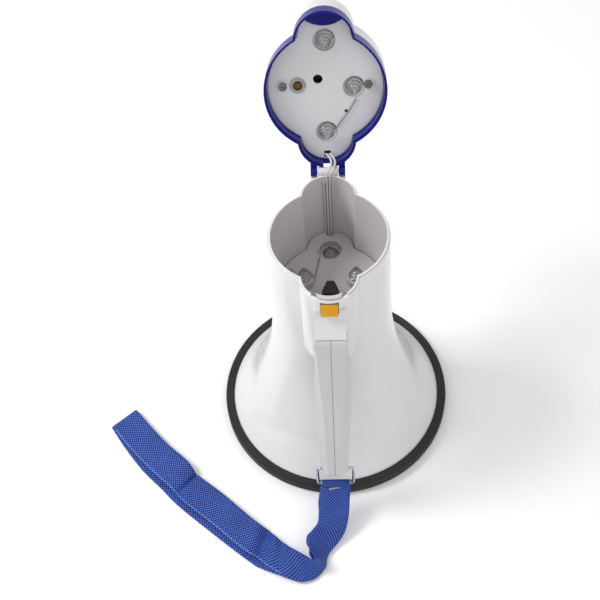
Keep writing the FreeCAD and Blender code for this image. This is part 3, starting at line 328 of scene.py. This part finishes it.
def coil_winding(name, colour):
    """Fine enamelled copper turns round the former, with painted shade between the turns."""
    n = Nodes(name)
    turns = n.maths("SINE", n.maths("MULTIPLY", n.axes()[2], 2 * math.pi / (0.25 * MM)))
    # Painted shade: the troughs between turns at half the copper's colour.
    n.link(n.ramp(turns, [(0.1, scaled(colour, 0.5)), (0.7, colour)]), n.shader.inputs["Base Color"])
    n.link(n.spread(n.noise(300, 3), 0.25, 0.45), n.shader.inputs["Roughness"])
    n.bump(n.maths("MULTIPLY", turns, 0.00004), 1.0)
    n.set(Metallic=0.8)
    return n.material


def circuit_board(name):
    """Green solder mask, given nearly black as painted shade, over faint copper tracks."""
    n = Nodes(name)
    tracks = n.add("ShaderNodeTexBrick")
    n.link(n.place, tracks.inputs["Vector"])
    tracks.inputs["Scale"].default_value = 160
    tracks.inputs["Mortar Size"].default_value = 0.03
    # Nearly black greens: the mask is painted dark as shade.
    tracks.inputs["Color1"].default_value = (0.002, 0.010, 0.005, 1)
    tracks.inputs["Color2"].default_value = (0.003, 0.014, 0.006, 1)
    tracks.inputs["Mortar"].default_value = (0.004, 0.026, 0.010, 1)
    n.link(tracks.outputs["Color"], n.shader.inputs["Base Color"])
    n.link(n.spread(n.noise(120, 3), 0.25, 0.4), n.shader.inputs["Roughness"])
    n.bump(n.maths("MULTIPLY", tracks.outputs["Fac"], 0.00003), 1.0)
    return n.material


# The battery well's round, its two lobes and how far they stand off, and the height it starts at.
WELL_RADIUS, WELL_LOBE, LOBE_OFFSET, WELL_BOTTOM = 0.0391, 0.0183, 0.0336, 0.15
WEDGE_FOOT = 0.1555
THREAD = {"roughness": (0.5, 0.7), "grain": 2500, "grain_depth": 0.00006}
WHITE = (0.74, 0.74, 0.735)
BLUE = (0.007, 0.010, 0.20)

finish = {
    "white": plastic("white_gloss", WHITE, (0.14, 0.24), vary=0.012, wave_depth=0.00002),
    # The second colour is painted shade for the inside of the battery well.
    "body": shell_plastic("body_gloss", WHITE, (0.62, 0.585, 0.61)),
    # The handle is the body's white plastic, given darker as painted shade.
    "handle": seamed_plastic("handle_satin_painted_shade", (0.56, 0.56, 0.558)),
    # The well's floor and latch hook are white moulding, painted greyer as shade.
    "inside": plastic("well_satin_painted_shade", (0.56, 0.52, 0.545), (0.35, 0.5), grain=700, vary=0.06),
    "plate": plastic("cap_plate_satin", (0.70, 0.69, 0.705), (0.28, 0.42), grain=900, vary=0.04),
    "blue": plastic("blue_gloss", BLUE, (0.2, 0.32), vary=0.12, ior=1.3),
    "yellow": plastic("yellow_gloss", (0.80, 0.37, 0.001), (0.2, 0.34), wave_depth=0.0002, vary=0.12,
                      ior=1.3),
    "black": plastic("black_satin", (0.012, 0.011, 0.013), (0.3, 0.48), vary=0.2),
    "wedge": wedge_plastic("wedge_black", (0.008, 0.006, 0.007), (0.09, 0.008, 0.012), WEDGE_FOOT),
    "vinyl": plastic("wire_vinyl", (0.62, 0.60, 0.60), (0.35, 0.5), vary=0.06),
    "phenolic": plastic("amber_film", (0.50, 0.26, 0.06), (0.3, 0.45), vary=0.1),
    "ferrite": rubber("ferrite", (0.035, 0.035, 0.038), (0.5, 0.7), grain=2200),
    "bumper": ridged_rubber("bumper_rubber", (0.010, 0.0095, 0.009)),
    "foam": rubber("foam", (0.02, 0.02, 0.02), (0.8, 0.95), grain=700, depth=0.0002),
    "spring": metal("spring_wire", (0.40, 0.39, 0.385), (0.16, 0.28)),
    "chrome": metal("plated_steel", (0.62, 0.62, 0.63), (0.08, 0.2)),
    "steel": metal("zinc_steel", (0.45, 0.45, 0.45), (0.28, 0.45)),
    "dark": metal("dark_screws", (0.24, 0.235, 0.24), (0.2, 0.4)),
    "brass": metal("brass_contact", (0.26, 0.14, 0.045), (0.15, 0.3)),
    "alloy": metal("plain_alloy", (0.66, 0.67, 0.69), (0.3, 0.45)),
    "webbing": webbing("blue_webbing", (0.004, 0.020, 0.235), (0.12, 0.27, 0.80)),
    "thread": plastic("pale_thread", (0.82, 0.82, 0.86), vary=0.1, **THREAD),
    "blue_thread": plastic("blue_thread", (0.22, 0.33, 0.85), vary=0.15, **THREAD),
    "winding": coil_winding("copper_winding", (0.72, 0.34, 0.16)),
    "board": circuit_board("solder_mask_and_shade"),
}

NODE_FINISH = {
    "body": ["housing"],
    "white": ["cap_dome", "reflector_cup", "throat_horn"],
    "handle": ["grip_left", "grip_right"],
    "inside": ["battery_floor", "latch_hook"],
    "plate": ["cap_plate"],
    "blue": ["cap_rim", "trigger"],
    "yellow": ["latch_button"],
    "black": ["volume_knob", "mode_slider", "mode_switch", "talk_switch", "mic_grille", "board_components"],
    "wedge": ["cell_divider"],
    "vinyl": ["lead_fixed", "lead_flex"],
    "phenolic": ["driver_diaphragm"],
    "ferrite": ["driver_magnet"],
    "bumper": ["mouth_ring"],
    "foam": ["driver_gasket", "mic_sleeve", "cap_gasket"],
    "spring": ["floor_spring_back", "floor_spring_left", "floor_spring_right", "cap_spring_front",
               "cap_spring_right", "cap_spring_hinge", "latch_spring", "trigger_spring",
               "floor_contact_front", "floor_jumpers", "cap_jumper"],
    "chrome": ["cap_contact_ring", "strap_bail", "cap_hinge_pin", "handle_pin", "floor_screws",
               "throat_screws", "grip_screws"],
    "dark": ["cap_screws"],
    "steel": ["driver_yoke", "driver_top_plate", "volume_pot"],
    "brass": ["cap_contact_pin", "driver_terminals"],
    "alloy": ["driver_cover", "heat_sink", "microphone_capsule", "volume_shaft"],
    "webbing": ["wrist_strap", "strap_loop"],
    "winding": ["voice_coil"],
    "board": ["amplifier_board"],
}

for key, names in NODE_FINISH.items():
    for name in names:
        data = NODES[name].data
        data.materials.clear()
        data.materials.append(finish[key])


# ---- Wrist strap: one length of webbing, doubled, from the bail to the far loop and back beneath itself

WEB = 24.0
THICK = 1.3

bail_low, bail_high = (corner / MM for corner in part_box("strap_bail"))
BAR = Vector((0.0, (bail_low.y + bail_high.y) / 2, bail_low.z + 1.1))

# Each station gives the webbing's two long edges in millimetres: the left or far one comes first.
TOP_LAYER = [
    ((-10.6, BAR.y - 2.6, BAR.z + 0.2), (10.6, BAR.y - 2.6, BAR.z + 0.2)),
    ((-11.4, BAR.y - 3.8, BAR.z - 3.4), (10.9, BAR.y - 3.8, BAR.z - 3.4)),
    ((-13.6, -106.6, 23.4), (10.1, -107.0, 23.6)),
    ((-13.7, -115.5, 18.5), (9.2, -115.0, 16.5)),
    ((-14.6, -122.6, 15.8), (7.3, -121.8, 11.0)),
    ((-18.6, -127.6, 14.0), (5.1, -126.8, 7.0)),
    ((-22.6, -131.6, 12.5), (0.5, -133.1, 3.2)),
    ((-23.1, -137.7, 13.0), (-4.9, -139.3, 2.0)),
    ((-20.9, -142.6, 15.4), (-8.1, -143.6, 1.6)),
    ((-20.6, -148.6, 18.6), (-9.8, -147.8, 1.6)),
    ((-18.4, -153.2, 20.4), (-10.7, -152.6, 1.6)),
    ((-22.3, -149.6, 16.0), (-13.6, -157.6, 1.6)),
    ((-28.8, -143.5, 10.0), (-19.6, -161.8, 1.6)),
    ((-36.3, -137.8, 6.0), (-29.0, -163.6, 2.0)),
    ((-43.0, -132.8, 4.6), (-41.2, -159.4, 2.8)),
    ((-48.2, -128.4, 6.4), (-51.4, -153.2, 3.6)),
    ((-51.2, -125.0, 3.0), (-56.2, -149.8, 2.8)),
    ((-53.6, -122.9, 3.0), (-60.4, -146.2, 2.8)),
    ((-59.6, -120.2, 8.6), (-67.2, -143.2, 6.2)),
    ((-68.1, -113.1, 7.6), (-78.4, -134.4, 5.2)),
    ((-88.7, -94.4, 5.8), (-99.6, -116.2, 3.6)),
    ((-105.0, -82.0, 6.8), (-118.8, -101.4, 4.2)),
    ((-110.6, -77.4, 6.4), (-125.4, -95.4, 4.4)),
    ((-112.4, -75.6, 2.7), (-127.8, -92.8, 2.7)),
    ((-113.9, -73.4, 6.6), (-130.4, -89.8, 4.8)),
    ((-118.8, -67.2, 9.6), (-138.2, -82.6, 6.0)),
    ((-125.4, -60.4, 8.4), (-145.0, -76.2, 5.0)),
    ((-136.5, -50.4, 6.8), (-156.4, -65.2, 4.0)),
    ((-155.1, -30.6, 6.4), (-174.0, -46.4, 4.2)),
    ((-165.8, -17.8, 5.6), (-184.4, -33.6, 4.6)),
]
FOLD = [
    ((-168.0, -15.4, 3.8), (-186.6, -31.4, 3.4)),
]
BOTTOM_LAYER = [
    ((-166.0, -18.0, 1.4), (-185.0, -33.6, 1.3)),
    ((-155.1, -33.4, 1.3), (-173.6, -49.8, 1.2)),
    ((-138.5, -54.4, 1.2), (-156.6, -70.6, 1.2)),
    ((-121.0, -71.0, 1.2), (-139.4, -87.2, 1.2)),
    ((-112.6, -80.4, 1.2), (-130.4, -96.6, 1.2)),
    ((-105.6, -86.6, 1.2), (-121.6, -104.4, 1.2)),
    ((-90.7, -98.4, 1.2), (-104.8, -118.0, 1.2)),
    ((-70.1, -115.5, 1.2), (-82.6, -135.6, 1.2)),
    ((-56.0, -126.4, 1.2), (-66.6, -147.6, 1.2)),
    ((-49.2, -131.4, 1.4), (-59.4, -152.2, 1.2)),
]


STEPS_PER_KNOT = 24


def unit(rows):
    """Each row as a vector of length 1."""
    return rows / np.linalg.norm(rows, axis=1)[:, None]


def travel_along(points):
    """How far along the line each point is."""
    return np.concatenate([[0], np.cumsum(np.linalg.norm(np.diff(points, axis=0), axis=1))])


def spline(points, count):
    """Evenly spaced points on a centripetal Catmull-Rom curve through the given ones."""
    p = np.array(points, float)
    p = np.vstack([2 * p[0] - p[1], p, 2 * p[-1] - p[-2]])
    steps = np.sqrt(np.linalg.norm(np.diff(p[:, :3], axis=0), axis=1)) + 1e-9
    knots = np.concatenate([[0], np.cumsum(steps)])
    rows = []
    for i in range(1, len(p) - 2):
        t0, t1, t2, t3 = knots[i - 1:i + 3]
        for t in np.linspace(t1, t2, STEPS_PER_KNOT, endpoint=False):
            a1 = (t1 - t) / (t1 - t0) * p[i - 1] + (t - t0) / (t1 - t0) * p[i]
            a2 = (t2 - t) / (t2 - t1) * p[i] + (t - t1) / (t2 - t1) * p[i + 1]
            a3 = (t3 - t) / (t3 - t2) * p[i + 1] + (t - t2) / (t3 - t2) * p[i + 2]
            b1 = (t2 - t) / (t2 - t0) * a1 + (t - t0) / (t2 - t0) * a2
            b2 = (t3 - t) / (t3 - t1) * a2 + (t - t1) / (t3 - t1) * a3
            rows.append((t2 - t) / (t2 - t1) * b1 + (t - t1) / (t2 - t1) * b2)
    rows.append(p[-2])
    rows = np.array(rows)
    travel = travel_along((rows[:, :3] + rows[:, 3:6]) / 2)
    even = np.linspace(0, travel[-1], count)
    return np.stack([np.interp(even, travel, rows[:, k]) for k in range(6)], axis=1), travel[-1]


OVER_BAR = [
    ((-10.5, BAR.y + 0.2, BAR.z + 2.4), (10.5, BAR.y + 0.2, BAR.z + 2.4)),
    ((-10.5, BAR.y - 1.9, BAR.z + 1.7), (10.5, BAR.y - 1.9, BAR.z + 1.7)),
]
BEHIND_BAR = [
    ((-10.5, BAR.y + 2.3, BAR.z + 0.9), (10.5, BAR.y + 2.3, BAR.z + 0.9)),
]


def beside(edges, gap):
    """The edges of a layer that lies against another."""
    left, right = edges[:, :3], edges[:, 3:6]
    middle = (left + right) / 2
    forward = np.gradient(middle, axis=0)
    shift = unit(np.cross(forward, left - right)) * gap
    return np.concatenate([left + shift, right + shift], axis=1)


def flat_rows(stations):
    return [tuple(left) + tuple(right) for left, right in stations]


OUTGOING_ROWS = 260
HEAD_ROWS = slice(14, 92)
HEAD_THINNED = slice(4, None, 6)
HEAD_LOWEST = 0.9
LAYER_GAP = 0.35
STRAP_ROWS = 620


def strap_edges():
    """Both edges along the whole length. From corner to bar, the return run lies on the outgoing one."""
    out, _ = spline(flat_rows(OVER_BAR + TOP_LAYER), OUTGOING_ROWS)
    head_back = beside(out[HEAD_ROWS], -(THICK + LAYER_GAP))[::-1]
    head_back[:, [2, 5]] = np.maximum(head_back[:, [2, 5]], HEAD_LOWEST)
    rows = list(map(tuple, out)) + flat_rows(FOLD + BOTTOM_LAYER)
    rows += list(map(tuple, head_back[HEAD_THINNED])) + flat_rows(BEHIND_BAR)
    return spline(rows, STRAP_ROWS)


ACROSS_POINTS = 17
EDGE_THICKNESS = 0.45
EDGE_REACH = 0.1
WEBBING_LOWEST = 0.35


def strap_mesh():
    """The webbing as one closed ribbon, with its UV in millimetres along and across it."""
    edges, length = strap_edges()
    left, right = edges[:, :3], edges[:, 3:6]
    middle = (left + right) / 2
    wide = unit(left - right)
    normal = unit(np.cross(np.gradient(middle, axis=0), wide))
    travel = travel_along(middle)
    half = np.linalg.norm(left - right, axis=1) / 2
    across = np.linspace(-1, 1, ACROSS_POINTS)
    columns = []
    for side in (1, -1):
        for t in across[::side]:
            at_edge = abs(t) == 1
            thick = THICK / 2 * (EDGE_THICKNESS if at_edge else 1.0)
            reach = half + EDGE_REACH if at_edge else half
            columns.append(middle + wide * (t * reach)[:, None] + normal * (side * thick))
    grid = np.stack(columns, axis=1)
    grid[:, :, 2] = np.maximum(grid[:, :, 2], WEBBING_LOWEST)
    rows, per_row = grid.shape[:2]
    verts = (grid.reshape(-1, 3) * MM).tolist()
    faces = []
    for i in range(rows - 1):
        for j in range(per_row):
            k = (j + 1) % per_row
            faces.append((i * per_row + j, i * per_row + k, (i + 1) * per_row + k, (i + 1) * per_row + j))
    faces.append(tuple(range(per_row))[::-1])
    faces.append(tuple((rows - 1) * per_row + j for j in range(per_row)))
    mesh = bpy.data.meshes.new("strap_webbing")
    mesh.from_pydata(verts, [], faces)
    uv = mesh.uv_layers.new(name="UVMap")
    widths = list(across * WEB / 2) + list(across[::-1] * WEB / 2)
    for polygon in mesh.polygons:
        for loop in polygon.loop_indices:
            vertex = mesh.loops[loop].vertex_index
            row, column = divmod(vertex, per_row)
            uv.data[loop].uv = (travel[row], widths[column])
    mesh.polygons.foreach_set("use_smooth", [True] * len(mesh.polygons))
    mesh.materials.append(finish["webbing"])
    strap = bpy.data.objects.new("strap_webbing", mesh)
    bpy.context.scene.collection.objects.link(strap)
    return strap, length, edges, normal


strap, strap_length, strap_rows, strap_normals = strap_mesh()


def tube(name, paths, radius, material, sides=8):
    """Round threads or wires along lists of points in millimetres, as one mesh."""
    verts, faces = [], []
    for path in paths:
        p = np.array(path, float)
        forward = np.gradient(p, axis=0)
        forward /= np.linalg.norm(forward, axis=1)[:, None] + 1e-12
        side = np.cross(forward[0], (0.31, 0.17, 0.93))
        side /= np.linalg.norm(side)
        base = len(verts)
        for i in range(len(p)):
            side = side - forward[i] * side.dot(forward[i])
            side /= np.linalg.norm(side)
            other = np.cross(forward[i], side)
            for k in range(sides):
                angle = 2 * math.pi * k / sides
                verts.append((p[i] + radius * (math.cos(angle) * side + math.sin(angle) * other)) * MM)
        for i in range(len(p) - 1):
            for k in range(sides):
                m = (k + 1) % sides
                faces.append((base + i * sides + k, base + i * sides + m,
                              base + (i + 1) * sides + m, base + (i + 1) * sides + k))
        faces.append(tuple(base + k for k in range(sides))[::-1])
        faces.append(tuple(base + (len(p) - 1) * sides + k for k in range(sides)))
    mesh = bpy.data.meshes.new(name)
    mesh.from_pydata([tuple(v) for v in verts], [], faces)
    mesh.polygons.foreach_set("use_smooth", [True] * len(mesh.polygons))
    mesh.materials.append(material)
    item = bpy.data.objects.new(name, mesh)
    bpy.context.scene.collection.objects.link(item)
    return item


TACK_ROW = -9
TACK_TURNS = 24
TACK_LENGTH = 8.4
TACK_HEIGHT = 0.55
TACK_SLANT = 1.6
TACK_RADIUS = 0.34
TACK_LIFT = 0.22


def bar_tack():
    """The white zigzag that closes the webbing round the bar, on the front of the head."""
    left, right = strap_rows[TACK_ROW, :3], strap_rows[TACK_ROW, 3:6]
    middle = (left + right) / 2
    wide = (right - left) / np.linalg.norm(right - left)
    normal = strap_normals[TACK_ROW] * (1 if strap_normals[TACK_ROW][1] < 0 else -1)
    down = np.cross(wide, normal)
    points = []
    for i in range(TACK_TURNS + 1):
        t = i / TACK_TURNS
        zigzag = TACK_HEIGHT if i % 2 else -TACK_HEIGHT
        offset = wide * ((t - 0.5) * TACK_LENGTH) + down * zigzag - down * (t * TACK_SLANT)
        points.append(middle + offset + normal * (THICK / 2 + TACK_LIFT))
    return tube("bar_tack", [points], TACK_RADIUS, finish["thread"])


tack = bar_tack()


STITCH_FROM = 92.0
TOP_LAYER_END = np.array([-175.1, -25.7, 5.1])
STITCH_LENGTH = 2.2
STITCH_PITCH = 3.1
STITCH_STOP = 3
STITCH_INSET = 1.2
STITCH_RADIUS = 0.3
STITCH_LIFT = 0.12
STITCH_ARCH = 0.1


def at_travel(travel, columns, s):
    """A point or direction of the strap at a distance along it."""
    return np.array([np.interp(s, travel, columns[:, k]) for k in range(3)])


def edge_stitches():
    """Short pale stitches just inside the near edge of the top layer."""
    stitches = []
    middle = (strap_rows[:, :3] + strap_rows[:, 3:6]) / 2
    travel = travel_along(middle)
    last = travel[np.argmin(np.linalg.norm(middle - TOP_LAYER_END, axis=1))]
    start = STITCH_FROM
    while start < last - STITCH_STOP:
        points = []
        for d in np.linspace(0, STITCH_LENGTH, 5):
            left = at_travel(travel, strap_rows[:, :3], start + d)
            right = at_travel(travel, strap_rows[:, 3:6], start + d)
            up = at_travel(travel, strap_normals, start + d)
            up *= 1 if up[2] > 0 else -1
            arch = STITCH_LIFT + STITCH_ARCH * math.sin(math.pi * d / STITCH_LENGTH)
            inward = (left - right) / np.linalg.norm(left - right)
            points.append(right + inward * STITCH_INSET + up * (THICK / 2 + arch))
        stitches.append(points)
        start += STITCH_PITCH
    return tube("edge_stitches", stitches, STITCH_RADIUS, finish["blue_thread"], sides=6)


stitches = edge_stitches()


# ---- The leads: two light vinyl wires that cross the hinge

def wavy(route, count):
    """A smooth line through the points of a route."""
    rows = [tuple(p) + tuple(p) for p in route]
    points, _ = spline(rows, count)
    return points[:, :3]


flex_low, flex_high = (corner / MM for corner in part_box("lead_flex"))


LEAD_OFFSET = 1.05
LEAD_RADIUS = 0.8
LEAD_ROWS = 60


def hinge_leads():
    """Both wires rise from the ribs, lean over the knuckle, swing across and enter the cap's notch."""
    z0, z1 = flex_low.z, flex_high.z
    y0, y1 = flex_low.y + 0.8, flex_high.y - 0.2
    wires = []
    for start_x, drift in ((-LEAD_OFFSET, 0.0), (LEAD_OFFSET, 0.5)):
        route = [
            (start_x, y0, z0 - 1.0),
            (start_x, y0, z0 + 2.6),
            (start_x + drift * 0.6, y0 + 0.6, z0 + 6.0),
            (start_x + 2.2 + drift, y0 + 3.4, z0 + 8.8),
            (start_x + 3.5 + drift, y0 + 7.6, z1 - 1.0),
            (start_x + 3.0 + drift, y0 + 11.6, z1 - 1.0),
            (start_x + 1.0 + drift, y1 - 1.6, z1 - 0.9),
            (start_x - 0.1 + drift * 0.4, y1 - 0.4, z1 - 0.8),
        ]
        wires.append(wavy(route, LEAD_ROWS))
    return tube("hinge_leads", wires, LEAD_RADIUS, finish["vinyl"], sides=12)


leads = hinge_leads()


# ---- Floor, light and surroundings

KEY_POWER = 18
FILL_POWER = 3
SKY_STRENGTH = 0.77
# Height of the view direction, then the sky's level there.
SKY_LEVELS = ((0.0, 0.62), (0.6, 1.0))
FLOOR_HALF = 4.0


def soft_light(name, place, aim, width, height, power):
    data = bpy.data.lights.new(name, "AREA")
    data.shape = "RECTANGLE"
    data.size = width
    data.size_y = height
    data.energy = power
    light = bpy.data.objects.new(name, data)
    light.location = place
    light.rotation_euler = (Vector(aim) - Vector(place)).to_track_quat("-Z", "Y").to_euler()
    bpy.context.scene.collection.objects.link(light)


def add_floor():
    mesh = bpy.data.meshes.new("floor")
    side = FLOOR_HALF
    corners = [(-side, -side, 0), (side, -side, 0), (side, side, 0), (-side, side, 0)]
    mesh.from_pydata(corners, [], [(0, 1, 2, 3)])
    n = Nodes("floor_white")
    tone = n.ramp(n.noise(3, 2), [(0.3, (0.95, 0.95, 0.95)), (0.7, (0.97, 0.97, 0.97))])
    n.link(tone, n.shader.inputs["Base Color"])
    n.set(Roughness=0.65)
    mesh.materials.append(n.material)
    floor = bpy.data.objects.new("floor", mesh)
    bpy.context.scene.collection.objects.link(floor)


add_floor()
soft_light("key", (-1.2, 0.1, 1.5), (0, 0, 0.08), 0.6, 0.6, KEY_POWER)
soft_light("fill", (0.9, -1.1, 1.3), (0, 0, 0.1), 1.4, 1.0, FILL_POWER)


def add_sky():
    """Bright overhead and dimmer towards the horizon, as in a light tent."""
    world = bpy.data.worlds.new("world")
    world.use_nodes = True
    tree = world.node_tree
    place = tree.nodes.new("ShaderNodeTexCoord")
    parts = tree.nodes.new("ShaderNodeSeparateXYZ")
    ramp = tree.nodes.new("ShaderNodeValToRGB")
    for index, (position, level) in enumerate(SKY_LEVELS):
        ramp.color_ramp.elements[index].position = position
        ramp.color_ramp.elements[index].color = (level, level, level, 1)
    tree.links.new(place.outputs["Generated"], parts.inputs[0])
    tree.links.new(parts.outputs["Z"], ramp.inputs["Fac"])
    tree.links.new(ramp.outputs["Color"], tree.nodes["Background"].inputs["Color"])
    tree.nodes["Background"].inputs["Strength"].default_value = SKY_STRENGTH
    bpy.context.scene.world = world


add_sky()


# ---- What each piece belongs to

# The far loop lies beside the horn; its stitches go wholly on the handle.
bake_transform(strap)
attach(tack, "bail")
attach(stitches, "handle")
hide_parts("wrist_strap", "strap_loop")


def pressed_spring(node, body):
    """A spring of the same shape as its node, on a mesh of its own, carried by the given body."""
    spring = bpy.data.objects.new(node + "_wire", NODES[node].data.copy())
    bpy.context.scene.collection.objects.link(spring)
    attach(spring, body)
    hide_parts(node)
    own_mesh(spring)


pressed_spring("latch_spring", "root")
pressed_spring("trigger_spring", "handle")

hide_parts("lead_flex")
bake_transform(leads)
